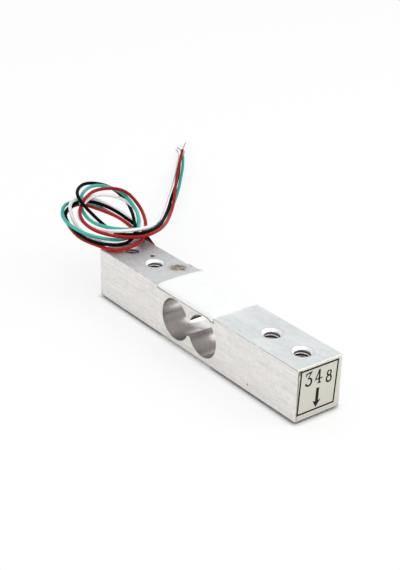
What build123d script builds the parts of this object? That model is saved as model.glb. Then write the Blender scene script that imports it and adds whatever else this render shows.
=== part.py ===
"""Straight-bar weighing load cell: a drilled aluminium spring beam with four foil gauges,
their silicone coats, a terminal board, four loose leads and a paper rating label.

Millimetres. +X points to the load end, which carries the label. +Y is the side the leads leave by.
The origin is under the middle of the bar, on the surface that the object rests on.
"""
import os
from math import pi, radians, tan

from build123d import *

# Spring beam
beam_length = 75.0
beam_width = 12.7
beam_height = 12.7
edge_break = 0.15
flexure_wall = 1.2
flexure_pitch = 10.4
flexure_shift = -0.2
neck_height = 4.2

# Threaded holes, one pair at each end, countersunk on both faces
screw_diameter = 4.0
sink_diameter = 5.3
sink_angle = 90
far_first_hole = 5.0
near_first_hole = 5.7
screw_pitch = 10.0

# Silicone coats over the gauges
coat_length = 21.6
coat_shift = -1.6
top_coat = 1.0
bottom_coat = 0.5
coat_round = 0.35
front_lip_drop = 0.8
front_lip_depth = 0.35
back_lip_drop = 1.0
bottom_inset = 0.3

# Foil gauges, one above and one below each bore
backing_length = 4.6
backing_width = 6.8
backing_thickness = 0.08
foil_thickness = 0.04
strand_count = 9
strand_length = 3.0
strand_width = 0.16
strand_pitch = 0.4
tab_size = 0.8
gauge_offset = 0.4

# Terminal board on the back face
board_gap = 1.0
board_length = 3.9
board_thickness = 0.3
pad_thickness = 0.05
pad_width = 0.8
pad_inset = 0.2
joint_length = 1.6
joint_width = 0.7
joint_height = 0.45
joint_round = 0.3
joint_taper = 12

# Fine enamelled wires from the gauges to the board
wire_radius = 0.08
lane_pitch = 0.4
lane_inset = 1.8
last_row_inset = 0.45
layer_step = 0.27
landing_shift = 0.2
landing_length = 1.0

# Back coat over the board, and the bead that holds the leads
back_coat_length = 7.6
back_coat_inset = 2.1
back_coat_depth = 1.7
wall = 0.1
bead_length = 7.1
bead_margin = 0.5
bead_round = 0.5

# Leads
lead_radius = 0.45
lead_pitch = 1.1
top_lead = 11.2
lead_clearance = 0.03
lead_gap = 0.1
first_run = 4.0
core_radius = 0.19
core_bend = 0.6

# Paper label on the load end
label_side_inset = 0.3
label_edge_inset = 0.35
label_thickness = 0.12
label_round = 0.3

# Levels and faces worked out from the sizes above
beam_bottom = bottom_coat
beam_top = beam_bottom + beam_height
beam_middle = beam_bottom + beam_height / 2
front = -beam_width / 2
back = beam_width / 2
near_end = beam_length / 2
far_end = -beam_length / 2
flexure_bore = beam_height - 2 * flexure_wall
coat_near = coat_shift + coat_length / 2
coat_far = coat_shift - coat_length / 2
foil_height = backing_thickness + foil_thickness
wire_height = foil_height + wire_radius
pad_face = back + board_thickness + pad_thickness
lower_layer = pad_face + wire_radius
upper_layer = lower_layer + layer_step
pocket_height = wire_height + wire_radius + wall
pocket_back = upper_layer + wire_radius + wall
lead_y = back + lead_gap + lead_radius
lead_levels = [top_lead - i * lead_pitch for i in range(4)]
lead_names = ["red", "black", "white", "green"]
board_wire_end = coat_far - board_gap
board_lead_end = board_wire_end - board_length
back_coat_near = coat_far + back_coat_inset
back_coat_far = back_coat_near - back_coat_length
bead_far = back_coat_far - bead_length
lead_start = board_lead_end - wall
far_holes = [far_end + far_first_hole + i * screw_pitch for i in range(2)]
near_holes = [near_end - near_first_hole - i * screw_pitch for i in range(2)]
hole_places = far_holes + near_holes
bore_places = [flexure_shift + side * flexure_pitch / 2 for side in (-1, 1)]

# Routes of the free leads past their first straight run, as they lie in a loose coil over the bar's end
lead_routes = {
    "red": [
        (-34.1, 7.0, 12.2), (-40.3, 6.9, 13.6), (-46.2, 5.7, 15.7), (-52.6, 3.8, 16.3),
        (-58.8, 0.3, 17.2), (-58.2, -4.4, 15.3), (-51.6, -7.0, 14.7), (-45.4, -7.7, 13.7),
        (-39.2, -7.3, 14.1), (-33.1, -4.5, 13.5), (-31.9, 1.6, 14.4), (-37.3, 7.2, 13.9),
        (-42.5, 11.1, 15.0), (-48.1, 12.8, 17.2), (-53.2, 11.2, 20.6), (-57.7, 5.5, 20.3),
        (-53.9, -0.9, 19.9), (-49.4, -5.3, 18.0), (-42.9, -6.0, 16.6), (-37.0, -2.7, 15.8),
        (-32.8, 2.8, 15.6), (-34.9, 9.2, 15.0), (-39.0, 14.4, 14.0), (-43.6, 18.9, 13.0),
        (-49.7, 24.2, 11.7), (-57.0, 30.4, 10.5), (-67.0, 38.1, 8.8), (-77.1, 45.8, 7.0),
        (-87.1, 53.5, 5.2), (-97.2, 61.6, 3.8), (-104.3, 67.4, 2.6), (-113.3, 74.8, 1.6),
    ],
    "black": [
        (-33.6, 7.8, 11.2), (-39.8, 8.2, 13.7), (-46.3, 7.6, 15.2), (-52.1, 5.8, 16.9),
        (-57.4, 1.5, 18.3), (-57.8, -4.5, 16.5), (-51.5, -7.4, 15.7), (-45.2, -8.0, 14.8),
        (-37.4, -7.8, 15.0), (-32.8, -2.1, 14.6), (-36.7, 3.9, 14.7), (-40.4, 6.2, 15.8),
        (-48.0, 10.5, 15.7), (-55.1, 13.2, 16.3), (-60.8, 11.9, 18.8), (-62.4, 5.3, 20.8),
        (-58.2, -0.5, 21.0), (-51.5, -3.4, 20.6), (-46.8, -0.5, 16.0), (-40.4, 0.3, 14.4),
        (-33.6, 2.7, 16.2), (-36.2, 9.3, 15.1), (-40.4, 14.4, 13.9), (-47.1, 20.5, 12.5),
        (-54.3, 26.8, 11.0), (-65.1, 35.5, 8.6), (-75.2, 43.9, 6.3), (-84.8, 52.0, 4.5),
        (-94.9, 60.0, 3.0), (-106.0, 68.3, 0.7), (-111.9, 73.2, 0.5),
    ],
    "white": [
        (-33.6, 7.2, 9.9), (-39.1, 8.2, 12.4), (-46.0, 9.3, 14.1), (-52.2, 8.1, 16.1),
        (-58.0, 4.3, 18.0), (-58.3, -2.8, 18.8), (-52.4, -5.3, 15.8), (-46.0, -6.2, 14.2),
        (-39.3, -5.5, 14.0), (-35.0, -0.7, 13.7), (-37.3, 5.4, 13.8), (-41.2, 9.2, 15.1),
        (-47.2, 11.7, 16.3), (-54.0, 10.9, 17.9), (-56.5, 4.1, 19.7), (-54.5, -2.1, 17.3),
        (-48.8, -5.5, 16.8), (-41.5, -3.8, 16.0), (-35.8, 0.7, 16.8), (-36.6, 8.5, 15.8),
        (-40.8, 13.5, 14.9), (-47.1, 18.8, 12.8), (-54.8, 25.4, 11.1), (-64.8, 33.6, 8.9),
        (-74.7, 41.9, 6.8), (-84.6, 50.1, 4.9), (-94.7, 58.4, 3.3), (-103.2, 65.2, 2.0),
        (-112.3, 72.2, 0.9),
    ],
    "green": [
        (-34.7, 8.0, 8.5), (-39.8, 7.3, 12.0), (-45.1, 6.7, 14.7), (-51.8, 5.4, 15.7),
        (-58.8, 3.4, 16.9), (-59.6, -3.2, 17.7), (-54.0, -7.7, 16.6), (-46.6, -8.6, 16.2),
        (-40.2, -7.0, 15.7), (-36.9, -0.9, 14.1), (-38.6, 5.3, 13.8), (-43.0, 9.4, 16.3),
        (-49.2, 11.1, 18.0), (-56.2, 11.6, 19.3), (-60.4, 6.6, 20.6), (-57.5, 0.4, 20.0),
        (-52.1, -2.8, 17.9), (-45.5, -3.5, 16.6), (-38.6, -1.2, 16.9), (-36.8, 4.6, 16.0),
        (-38.7, 10.8, 14.5), (-45.1, 17.7, 12.0), (-52.5, 25.2, 10.3), (-61.9, 34.0, 8.3),
        (-70.9, 41.9, 6.8), (-82.2, 51.0, 4.2), (-92.4, 59.1, 2.6), (-100.1, 65.4, 1.7),
        (-108.6, 71.6, 1.2),
    ],
}

# Bends of the bare tinned cores past the ends of the insulation
core_routes = {
    "red": [(-116.0, 77.4, 1.8), (-119.3, 80.5, 1.4)],
    "black": [(-114.1, 74.9, 0.6), (-115.9, 75.7, 1.0), (-116.9, 75.2, 1.4)],
    "white": [(-114.2, 73.6, 1.2), (-115.3, 73.5, 1.4)],
    "green": [(-111.0, 73.6, 0.8), (-114.4, 76.4, 0.5)],
}


def write(piece, name):
    """Labels a finished piece and writes its file."""
    piece.part.label = name
    export_step(piece.part, f"parts/{name}.step")


def cut_box(low, high):
    """Cuts the block between two corners out of the piece in work."""
    size = [b - a for a, b in zip(low, high)]
    middle = tuple((a + b) / 2 for a, b in zip(low, high))
    with Locations(middle):
        Box(*size, mode=Mode.SUBTRACT)


def add_box(low, high):
    """Adds the block between two corners to the piece in work."""
    size = [b - a for a, b in zip(low, high)]
    middle = tuple((a + b) / 2 for a, b in zip(low, high))
    with Locations(middle):
        Box(*size)


def arc_radii(points):
    """The widest arc at each corner: 0.45 of the shorter run, over the tangent of half the turn."""
    runs = [Vector(*b) - Vector(*a) for a, b in zip(points, points[1:])]
    radii = []
    for before, after in zip(runs, runs[1:]):
        half_turn = radians(before.get_angle(after)) / 2
        radii.append(0.45 * min(before.length, after.length) / tan(half_turn))
    return radii


def tube_path(points, radii):
    """Straight runs joined by tangent arcs."""
    with BuildLine() as line:
        FilletPolyline(*points, radius=radii)
    return line


os.makedirs("parts", exist_ok=True)

# Spring beam: one bar, cross-drilled twice with a flat-sided slot between, so that thin flexures are left
# above and below each bore
with BuildPart() as spring_beam:
    with Locations((0, 0, beam_middle)):
        Box(beam_length, beam_width, beam_height)
    chamfer(spring_beam.edges(), edge_break)
    with BuildSketch(Plane.XZ):
        with Locations(*[(x, beam_middle) for x in bore_places]):
            Circle(flexure_bore / 2)
        with Locations((flexure_shift, beam_middle)):
            Rectangle(flexure_pitch, neck_height)
    extrude(amount=beam_width, both=True, mode=Mode.SUBTRACT)
    faces = spring_beam.faces().filter_by(Axis.Y)
    chamfer([edge for face in faces for wire in face.inner_wires() for edge in wire.edges()], edge_break)
    with Locations(*[Plane((x, 0, beam_top)) for x in hole_places]):
        CounterSinkHole(screw_diameter / 2, sink_diameter / 2, counter_sink_angle=sink_angle)
    with Locations(*[Plane((x, 0, beam_bottom), z_dir=(0, 0, -1)) for x in hole_places]):
        CounterSinkHole(screw_diameter / 2, sink_diameter / 2, counter_sink_angle=sink_angle)
write(spring_beam, "spring_beam")

# Foil gauges: a film backing and a folded foil grid, its strands along the bar, its tabs to the back
first_strand = -(strand_count - 1) / 2 * strand_pitch
last_strand = -first_strand
tab_row = last_strand + strand_pitch + tab_size
tab_side = strand_length / 2 + strand_pitch / 4
fold_width = 1.5 * strand_width
far_bore, near_bore = bore_places
gauge_sides = {"lower_far": (far_bore, -1), "lower_near": (near_bore, -1),
               "upper_far": (far_bore, 1), "upper_near": (near_bore, 1)}
for place, (along, upward) in gauge_sides.items():
    level = beam_top if upward > 0 else beam_bottom
    seat = Plane((along, 0, level), x_dir=(upward, 0, 0), z_dir=(0, 0, upward))
    with BuildPart() as backing:
        with BuildSketch(seat):
            with Locations((0, gauge_offset)):
                Rectangle(backing_length, backing_width)
        extrude(amount=backing_thickness)
    write(backing, f"gauge_backing_{place}")
    with BuildPart() as grid:
        with BuildSketch(seat.offset(backing_thickness)):
            with GridLocations(0, strand_pitch, 1, strand_count):
                Rectangle(strand_length, strand_width)
            for i in range(strand_count - 1):
                fold_end = (strand_length - fold_width) / 2 * (1 if i % 2 == 0 else -1)
                with Locations((fold_end, first_strand + (i + 0.5) * strand_pitch)):
                    Rectangle(fold_width, strand_pitch + strand_width)
            with Locations((-tab_side, tab_row), (tab_side, tab_row)):
                Rectangle(tab_size, tab_size)
            with Locations((tab_side, (last_strand + tab_row) / 2)):
                Rectangle(strand_width, tab_row - last_strand + strand_width)
            with Locations((-tab_side - strand_pitch / 2, (first_strand + tab_row) / 2)):
                Rectangle(strand_width, tab_row - first_strand + strand_width)
            with Locations((tab_side - strand_pitch / 2, last_strand)):
                Rectangle(strand_pitch, strand_width)
            with Locations((-tab_side, first_strand)):
                Rectangle(strand_pitch + strand_width, strand_width)
        extrude(amount=foil_thickness)
    write(grid, f"gauge_grid_{place}")

# Silicone coat over the upper gauges, with lips over both long edges and a cover for the wires
upper_pocket = (coat_far + 2 * wall, -backing_width / 2 + gauge_offset - wall)
pocket_near = near_bore + backing_length / 2 + wall
cover_near = back_coat_near - wall
with BuildPart() as top_coat_piece:
    with Locations((coat_shift, 0, beam_top + (top_coat - front_lip_drop) / 2)):
        Box(coat_length, beam_width + 2 * front_lip_depth, top_coat + front_lip_drop)
    fillet(top_coat_piece.edges().filter_by(Axis.Z), coat_round)
    fillet(top_coat_piece.edges().group_by(Axis.Z)[-1], coat_round)
    add_box((coat_far, back, beam_top - back_lip_drop), (back_coat_near, back + back_coat_depth, beam_top + top_coat / 2))
    cut_box((far_end, front, beam_bottom), (near_end, back, beam_top))
    cut_box((*upper_pocket, beam_top), (pocket_near, back, beam_top + pocket_height))
    cut_box((upper_pocket[0], back, beam_bottom), (cover_near, pocket_back, beam_top + pocket_height))
write(top_coat_piece, "top_coat")

# Silicone coat under the lower gauges, on which the cell rests
with BuildPart() as bottom_coat_piece:
    add_box((coat_far, front + bottom_inset, 0), (coat_near, back, beam_bottom))
    fillet(bottom_coat_piece.edges().filter_by(Axis.Z), coat_round)
    cut_box((*upper_pocket, beam_bottom - pocket_height), (pocket_near, back, beam_bottom))
write(bottom_coat_piece, "bottom_coat")

# Back coat over the terminal board and the wires, drawn out into a bead round the leads
lowest_lead = lead_levels[-1]
lead_reach = lead_gap + 2 * lead_radius + bead_margin
half_lead = lead_radius + bead_margin
with BuildPart() as back_coat:
    add_box((back_coat_far, back, 0), (back_coat_near, back + back_coat_depth, beam_top - back_lip_drop))
    fillet(back_coat.edges().group_by(Axis.Y)[-1], bead_round)
    with BuildSketch(Plane.YZ.offset(bead_far)):
        with Locations((back, (top_lead + lowest_lead) / 2)):
            RectangleRounded(2 * lead_reach, top_lead - lowest_lead + 2 * half_lead, bead_round)
        with Locations((back - lead_reach, (top_lead + lowest_lead) / 2)):
            Rectangle(2 * lead_reach, 2 * beam_height, mode=Mode.SUBTRACT)
    extrude(amount=back_coat_far - bead_far + bead_round)
    cut_box((upper_pocket[0], back, beam_bottom - pocket_height), (cover_near, pocket_back, beam_top))
    cut_box((lead_start, back, lowest_lead - half_lead), (upper_pocket[0], pocket_back, top_lead + half_lead))
    for level in lead_levels:
        with BuildSketch(Plane.YZ.offset(bead_far)):
            with Locations((lead_y, level)):
                Circle(lead_radius + lead_clearance)
        extrude(amount=lead_start - bead_far, mode=Mode.SUBTRACT)
write(back_coat, "back_coat")

# Terminal board with its four pads, and the solder joint that holds each lead's core to its pad
board_low = (board_lead_end, back, lowest_lead - (lead_pitch + pad_inset) / 2)
with BuildPart() as terminal_board:
    add_box(board_low, (board_wire_end, back + board_thickness, top_lead + (lead_pitch + pad_inset) / 2))
write(terminal_board, "terminal_board")

pad_far = board_lead_end + pad_inset
pad_near = board_wire_end - pad_inset
with BuildPart() as terminal_pads:
    for level in lead_levels:
        add_box((pad_far, back + board_thickness, level - pad_width / 2), (pad_near, pad_face, level + pad_width / 2))
write(terminal_pads, "terminal_pads")

with BuildPart() as solder_joints:
    with BuildSketch(Plane.XZ.offset(-pad_face)):
        with Locations(*[((lead_start + pad_far + joint_length) / 2, level) for level in lead_levels]):
            RectangleRounded(pad_far + joint_length - lead_start, joint_width, joint_round)
    extrude(amount=-joint_height, taper=joint_taper)
write(solder_joints, "solder_joints")

# Enamelled wires: each runs off its tab to a lane of its own, over the back edge and onto a pad
tab_places = sorted(x + side * tab_side for x in bore_places for side in (-1, 1))
wire_end = pad_near - landing_length
for side, upward in (("upper", 1), ("lower", -1)):
    level = beam_top + wire_height if upward > 0 else beam_bottom - wire_height
    with BuildPart() as wires:
        for i, tab_x in enumerate(tab_places):
            row = back - last_row_inset - (3 - i) * lane_pitch
            lane = coat_far + lane_inset - (3 - i) * lane_pitch
            pad_level = lead_levels[i] + landing_shift if upward > 0 else lead_levels[3 - i] - landing_shift
            layer = lower_layer if upward > 0 else upper_layer
            points = [(tab_x, tab_row, level), (tab_x, row, level), (lane, row, level), (lane, layer, level)]
            points.append((lane, layer, pad_level))
            if upward < 0:
                points.append((pad_near + pad_inset, layer, pad_level))
                points.append((pad_near - pad_inset, lower_layer, pad_level))
            points.append((wire_end, lower_layer, pad_level))
            with BuildLine() as path:
                Polyline(*points)
            with BuildSketch(Plane(points[0], z_dir=(0, 1, 0))):
                Circle(wire_radius)
            sweep(path=path.line, transition=Transition.RIGHT)
    write(wires, f"{side}_wires")

# Leads: a straight run under the bead, then the free route, and the bare core at the end
for name, level in zip(lead_names, lead_levels):
    points = [(bead_far, lead_y, level), (bead_far - first_run, lead_y, level), *lead_routes[name]]
    radii = arc_radii(points)
    path = tube_path(points, radii)
    with BuildPart() as lead:
        with BuildSketch(Plane.YZ.offset(bead_far)):
            with Locations((lead_y, level)):
                Circle(lead_radius)
        sweep(path=path.line)
        with BuildSketch(Plane.YZ.offset(bead_far)):
            with Locations((lead_y, level)):
                Circle(lead_radius)
        extrude(amount=lead_start - bead_far)
    write(lead, f"lead_{name}")
    length = sum(edge.length for edge in path.edges())
    section = pi * lead_radius**2
    print(f"lead_{name}: free length {length:.1f}, volume {lead.part.volume:.2f}, section times length",
          f"{section * (length + lead_start - bead_far):.2f}, tightest arc {min(radii):.1f}")

    tip_points = [points[-1], *core_routes[name]]
    tip_path = tube_path(tip_points, core_bend)
    with BuildPart() as tip:
        with BuildSketch(Plane(tip_points[0], z_dir=Vector(*tip_points[1]) - Vector(*tip_points[0]))):
            Circle(core_radius)
        sweep(path=tip_path.line)
    write(tip, f"core_{name}")

# Paper label on the load end
with BuildPart() as rating_label:
    with BuildSketch(Plane.YZ.offset(near_end)):
        with Locations((0, beam_middle)):
            RectangleRounded(beam_width - 2 * label_side_inset, beam_height - 2 * label_edge_inset, label_round)
    extrude(amount=label_thickness)
write(rating_label, "rating_label")
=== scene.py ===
"""Looks of the straight-bar weighing load cell: milled beam, poured silicone, printed label, loose leads.

Lengths on the object are written in millimetres and turned into metres where a mesh, a curve or a shader
node takes them. The camera, the floor and the lamps are placed in metres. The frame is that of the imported
model: +X to the load end with the label, +Y to the leads' side, +Z up.
"""
import math
from functools import cached_property

import bmesh
import bpy
import numpy as np
from mathutils import Matrix, Vector


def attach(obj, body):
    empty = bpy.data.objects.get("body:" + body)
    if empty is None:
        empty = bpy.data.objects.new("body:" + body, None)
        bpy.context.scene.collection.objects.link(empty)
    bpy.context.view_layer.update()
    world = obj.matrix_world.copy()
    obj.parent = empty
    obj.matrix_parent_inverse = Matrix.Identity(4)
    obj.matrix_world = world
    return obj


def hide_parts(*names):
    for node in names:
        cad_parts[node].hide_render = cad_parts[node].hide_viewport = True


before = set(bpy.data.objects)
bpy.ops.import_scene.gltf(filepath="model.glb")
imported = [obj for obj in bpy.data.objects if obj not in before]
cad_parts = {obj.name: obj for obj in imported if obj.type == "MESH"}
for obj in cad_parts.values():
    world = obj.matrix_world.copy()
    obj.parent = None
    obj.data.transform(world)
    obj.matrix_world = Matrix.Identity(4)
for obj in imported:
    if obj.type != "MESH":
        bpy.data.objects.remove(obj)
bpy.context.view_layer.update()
MM = 0.001
PER_METRE = 1000

# Bar, as in the solids
HALF_LENGTH = 37.5
HALF_WIDTH = 6.35
BAR_BOTTOM = 0.5
BAR_MIDDLE = BAR_BOTTOM + HALF_WIDTH
BAR_TOP = BAR_BOTTOM + 2 * HALF_WIDTH
EDGE_BREAK = 0.15

# Flexure bores: the middle of the pair along the bar, and each bore's distance from there
PAIR_MIDDLE = -0.2
BORE_OFFSET = 5.2
BORE_RADIUS = 5.15
SLOT_HALF_HEIGHT = 2.1

# Screw holes. The sinks' rims are worn round, so the bright cone is a little narrower than it was cut
SCREW_RADIUS = 2.0
SCREW_PLACES = (-32.5, -22.5, 21.8, 31.8)
SINK_RADIUS = 2.45

# Leads: where they start inside the bead behind the bar, where they leave it, and each one's height there
LEAD_RADIUS = 0.45
CORE_RADIUS = 0.19
LEAD_Y = 6.9
LEAD_START = -17.4
BEAD_END = -25.0
LEAD_LEVELS = {"red": 11.2, "black": 10.1, "white": 9.0, "green": 7.9}

# Label
LABEL_HALF_WIDTH = 6.05
LABEL_HALF_HEIGHT = 6.0
LABEL_FACE = HALF_LENGTH + 0.12

# Marks of use
PIT_PLACE = (-26.4, 1.9, BAR_TOP)
PINK_DOT_PLACE = (21.7, -HALF_WIDTH, 2.35)
SMEAR_X, SMEAR_Y = -17.2, 3.0
LABEL_STAIN_PLACE = (37.6, -6.0, 12.7)

# The photograph's view: turn, tilt and roll in degrees, place and lens fitted to the bar's corners
VIEW_TURN, VIEW_TILT, VIEW_ROLL = 52.56, 25.66, 1.18
CAMERA_PLACE = (0.191779, -0.150138, 0.133139)
LENS = 74.35


# Camera
def place_camera():
    """The photograph's view: a turn round the upright axis, a tilt down and a small roll about the line of
    sight."""
    turn, tilt, roll = (math.radians(a) for a in (VIEW_TURN, VIEW_TILT, VIEW_ROLL))
    back = Vector((math.sin(turn) * math.cos(tilt), -math.cos(turn) * math.cos(tilt), math.sin(tilt)))
    level = Vector((math.cos(turn), math.sin(turn), 0))
    upward = back.cross(level)
    right = level * math.cos(roll) + upward * math.sin(roll)
    up = upward * math.cos(roll) - level * math.sin(roll)
    data = bpy.data.cameras.new("camera")
    data.lens = LENS
    data.sensor_width = 36
    data.clip_start, data.clip_end = 0.01, 20
    camera = bpy.data.objects.new("camera", data)
    turned = Matrix((right, up, back)).transposed().to_4x4()
    camera.matrix_world = Matrix.Translation(CAMERA_PLACE) @ turned
    bpy.context.collection.objects.link(camera)
    bpy.context.scene.camera = camera


place_camera()


# Shader nodes
def set_stops(ramp, stops):
    """Gives a colour ramp its stops, each a place from 0 to 1 and a colour."""
    while len(ramp.elements) < len(stops):
        ramp.elements.new(1)
    for element, (at, shade) in zip(ramp.elements, stops):
        element.position = at
        element.color = (*shade, 1)


class Signal:
    """A shader socket that takes Python's operators, each of which adds its Math node."""

    def __init__(self, finish, socket):
        self.finish = finish
        self.socket = socket

    def maths(self, operation, *values, clamp=False):
        """A Math node of any operation on the values."""
        settings = {"operation": operation, "use_clamp": clamp}
        return self.finish.node("ShaderNodeMath", settings, dict(enumerate(values)))

    def __add__(self, other):
        return self.maths("ADD", self, other)

    def __radd__(self, other):
        return self.maths("ADD", other, self)

    def __sub__(self, other):
        return self.maths("SUBTRACT", self, other)

    def __rsub__(self, other):
        return self.maths("SUBTRACT", other, self)

    def __mul__(self, other):
        return self.maths("MULTIPLY", self, other)

    def __rmul__(self, other):
        return self.maths("MULTIPLY", other, self)

    def __truediv__(self, other):
        return self.maths("DIVIDE", self, other)

    def __pow__(self, other):
        return self.maths("POWER", self, other)

    def __abs__(self):
        return self.maths("ABSOLUTE", self)

    def at_least(self, other):
        """The larger of the two."""
        return self.maths("MAXIMUM", self, other)

    def below(self, edge, blur):
        """1 under the edge and 0 over it, with a soft step as wide as blur."""
        return self.maths("MULTIPLY_ADD", self, -1 / blur, edge / blur + 0.5, clamp=True)

    def above(self, edge, blur):
        """1 over the edge and 0 under it."""
        return self.maths("MULTIPLY_ADD", self, 1 / blur, 0.5 - edge / blur, clamp=True)

    def within(self, middle, half, blur):
        """1 less than half away from the middle and 0 beyond."""
        return abs(self - middle).below(half, blur)


class Finish:
    """A material: a Principled shader and the nodes that feed it."""

    def __init__(self, name, colour, roughness, **constants):
        self.material = bpy.data.materials.new(name)
        self.material.use_nodes = True
        self.tree = self.material.node_tree
        self.shader = self.tree.nodes["Principled BSDF"]
        self.shader.inputs["Base Color"].default_value = (*colour, 1)
        self.shader.inputs["Roughness"].default_value = roughness
        for label, value in constants.items():
            self.shader.inputs[label.replace("_", " ")].default_value = value
        self.place = self.node("ShaderNodeTexCoord", {}, {}, "Object")

    def node(self, kind, settings, inputs, output=0):
        """Adds a node: its settings, or a ramp's stops, come first, and then its inputs' values or links."""
        made = self.tree.nodes.new(kind)
        for label, value in settings.items():
            if label == "stops":
                set_stops(made.color_ramp, value)
            else:
                setattr(made, label, value)
        for label, value in inputs.items():
            if isinstance(value, Signal):
                self.tree.links.new(value.socket, made.inputs[label])
            else:
                made.inputs[label].default_value = value
        return Signal(self, made.outputs[output])

    def feed(self, **signals):
        """Links signals to the shader's sockets of the same names."""
        for label, signal in signals.items():
            self.tree.links.new(signal.socket, self.shader.inputs[label.replace("_", " ")])

    def axis(self, label):
        """One coordinate of the row frame, in millimetres."""
        return self.node("ShaderNodeSeparateXYZ", {}, {0: self.place}, label) * PER_METRE

    @cached_property
    def x(self):
        return self.axis("X")

    @cached_property
    def y(self):
        return self.axis("Y")

    @cached_property
    def z(self):
        return self.axis("Z")

    def stretched(self, scale):
        """Object coordinates in millimetres, times a scale for each axis."""
        inputs = {"Vector": self.place, "Scale": [PER_METRE * s for s in scale]}
        return self.node("ShaderNodeMapping", {}, inputs)

    def noise(self, scale, detail=2.0, rough=0.5, distortion=0.0):
        """Smooth noise about 0.5, its grains per millimetre given for each axis."""
        inputs = {"Vector": self.stretched(scale), "Scale": 1.0, "Detail": detail, "Roughness": rough,
                  "Distortion": distortion}
        return self.node("ShaderNodeTexNoise", {}, inputs)

    def distance(self, spot):
        """Distance to a spot, in millimetres."""
        inputs = {0: self.place, 1: [MM * c for c in spot]}
        return self.node("ShaderNodeVectorMath", {"operation": "DISTANCE"}, inputs, "Value") * PER_METRE

    def mix(self, share, first, second):
        """A colour between two others, by the Mix node's two colour inputs, 6 and 7."""
        colours = {6: first, 7: second}
        plain = {at: c if isinstance(c, Signal) else (*c, 1) for at, c in colours.items()}
        return self.node("ShaderNodeMix", {"data_type": "RGBA"}, {0: share, **plain}, 2)

    def bump(self, height, strength=1.0, depth=0.02):
        """Feeds the normal from a height, whose full range is depth in millimetres."""
        inputs = {"Height": height, "Strength": strength, "Distance": depth * MM}
        self.feed(Normal=self.node("ShaderNodeBump", {}, inputs))


# Milled bar and its threads
def top_face(metal):
    """1 on the bar's top."""
    return metal.z.above(BAR_TOP - 0.03, 0.04)


def front_face(metal):
    """1 on the bar's front."""
    return metal.y.below(0.05 - HALF_WIDTH, 0.05)


def drilled_part(metal):
    """1 on the walls of the flexure bores and of the slot between them."""
    across = abs(metal.x - PAIR_MIDDLE)
    from_axis = ((across - BORE_OFFSET) ** 2 + (metal.z - BAR_MIDDLE) ** 2) ** 0.5
    bored = from_axis.below(BORE_RADIUS + 0.05, 0.05)
    slotted = across.below(0.55, 0.05) * metal.z.within(BAR_MIDDLE, SLOT_HALF_HEIGHT + 0.05, 0.05)
    return bored.at_least(slotted) * metal.y.within(0, HALF_WIDTH - 0.05, 0.05)


def screw_distance(metal):
    """Distance from the nearest screw hole's axis: the four holes fold onto one, by ends and by pairs."""
    far_end, load_end = (sum(SCREW_PLACES[k:k + 2]) / 2 for k in (0, 2))
    middle, reach = (load_end + far_end) / 2, (load_end - far_end) / 2
    half_pitch = (SCREW_PLACES[1] - SCREW_PLACES[0]) / 2
    return ((abs(abs(metal.x - middle) - reach) - half_pitch) ** 2 + metal.y ** 2) ** 0.5


def face_tone(metal, streak, grain):
    """The milled faces: lengthwise streaks that drift to pink and to yellow, and on the top a cooler painted
    reflection, with painted shade that makes it darker at the far end."""
    cloud = metal.noise((0.22, 0.5, 0.5), 3, 0.55)
    stops = [(0.40, (0.735, 0.713, 0.690)), (0.62, (0.925, 0.903, 0.877))]
    tone = metal.node("ShaderNodeValToRGB", {"stops": stops}, {0: streak * 0.5 + cloud * 0.15 + grain * 0.35})
    tint = metal.noise((0.07, 0.22, 0.22), 2, 0.5)
    tone = metal.mix(tint.above(0.56, 0.16) * 0.35, tone, (0.890, 0.822, 0.815))
    tone = metal.mix(tint.below(0.44, 0.16) * 0.25, tone, (0.835, 0.835, 0.760))
    # Painted reflection on the top: a cooler tone, with painted shade that darkens it towards the far end.
    drift = metal.noise((0.07, 0.16, 0.1), 2, 0.5)
    near_top_painted_reflection = metal.mix(drift.above(0.5, 0.3), (0.800, 0.828, 0.830), (0.905, 0.932, 0.930))
    far_top_painted_shade = metal.mix(metal.x.above(-24.0, 9.0), (0.475, 0.477, 0.484), (0.690, 0.692, 0.696))
    top_painted_tone = metal.mix(metal.x.below(-8.0, 3.0), near_top_painted_reflection, far_top_painted_shade)
    mottle = metal.noise((0.8, 1.3, 1.0), 4, 0.7)
    top_painted_tone = metal.mix(mottle.above(0.56, 0.2) * 0.3, top_painted_tone, (0.96, 0.975, 0.97))
    tone = metal.mix(top_face(metal) * 0.9, tone, top_painted_tone)
    blotch = metal.noise((0.45, 0.8, 0.5), 4, 0.65)
    return metal.mix(blotch.above(0.56, 0.16) * 0.14, tone, (0.42, 0.425, 0.43))


def edge_tone(metal, tone):
    """The front arris with its broken dark line, painted shade along the foot and towards the bottom, the
    load end's edge, and a painted shadow line under the coat's lip."""
    x, y, z = metal.x, metal.y, metal.z
    line_breakup = metal.noise((0.5, 0.5, 0.5), 2, 0.6)
    arris = y.below(0.11 - HALF_WIDTH, 0.05) * z.above(BAR_TOP - 0.14, 0.05) * line_breakup.above(0.46, 0.12)
    # Painted shade: the dark line along the foot stands for the contact shadow under the bar.
    foot = z.below(BAR_BOTTOM + 0.34, 0.12)
    tone = metal.mix((arris * 0.5).at_least(foot * 0.9), tone, (0.12, 0.12, 0.10))
    # Painted shade: the faces grow darker towards the bottom.
    tone = metal.mix(z.below(2.6, 5.0) * (1 - foot) * 0.2, tone, (0.42, 0.40, 0.37))
    end_edge = x.above(HALF_LENGTH - 0.14, 0.04) * z.above(BAR_TOP - 0.16, 0.05)
    tone = metal.mix(end_edge, tone, (0.62, 0.61, 0.53))
    # Painted shadow: a dark line on the front face just under the coat's lip, broken up by noise.
    tab_drop = x.above(7.5, 0.6) * 0.4
    lip_shadow = front_face(metal) * (z + tab_drop).above(12.36, 0.10) * x.within(-1.65, 10.9, 0.2)
    return metal.mix(lip_shadow * line_breakup.above(0.30, 0.2) * 0.85, tone, (0.12, 0.115, 0.075))


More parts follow.
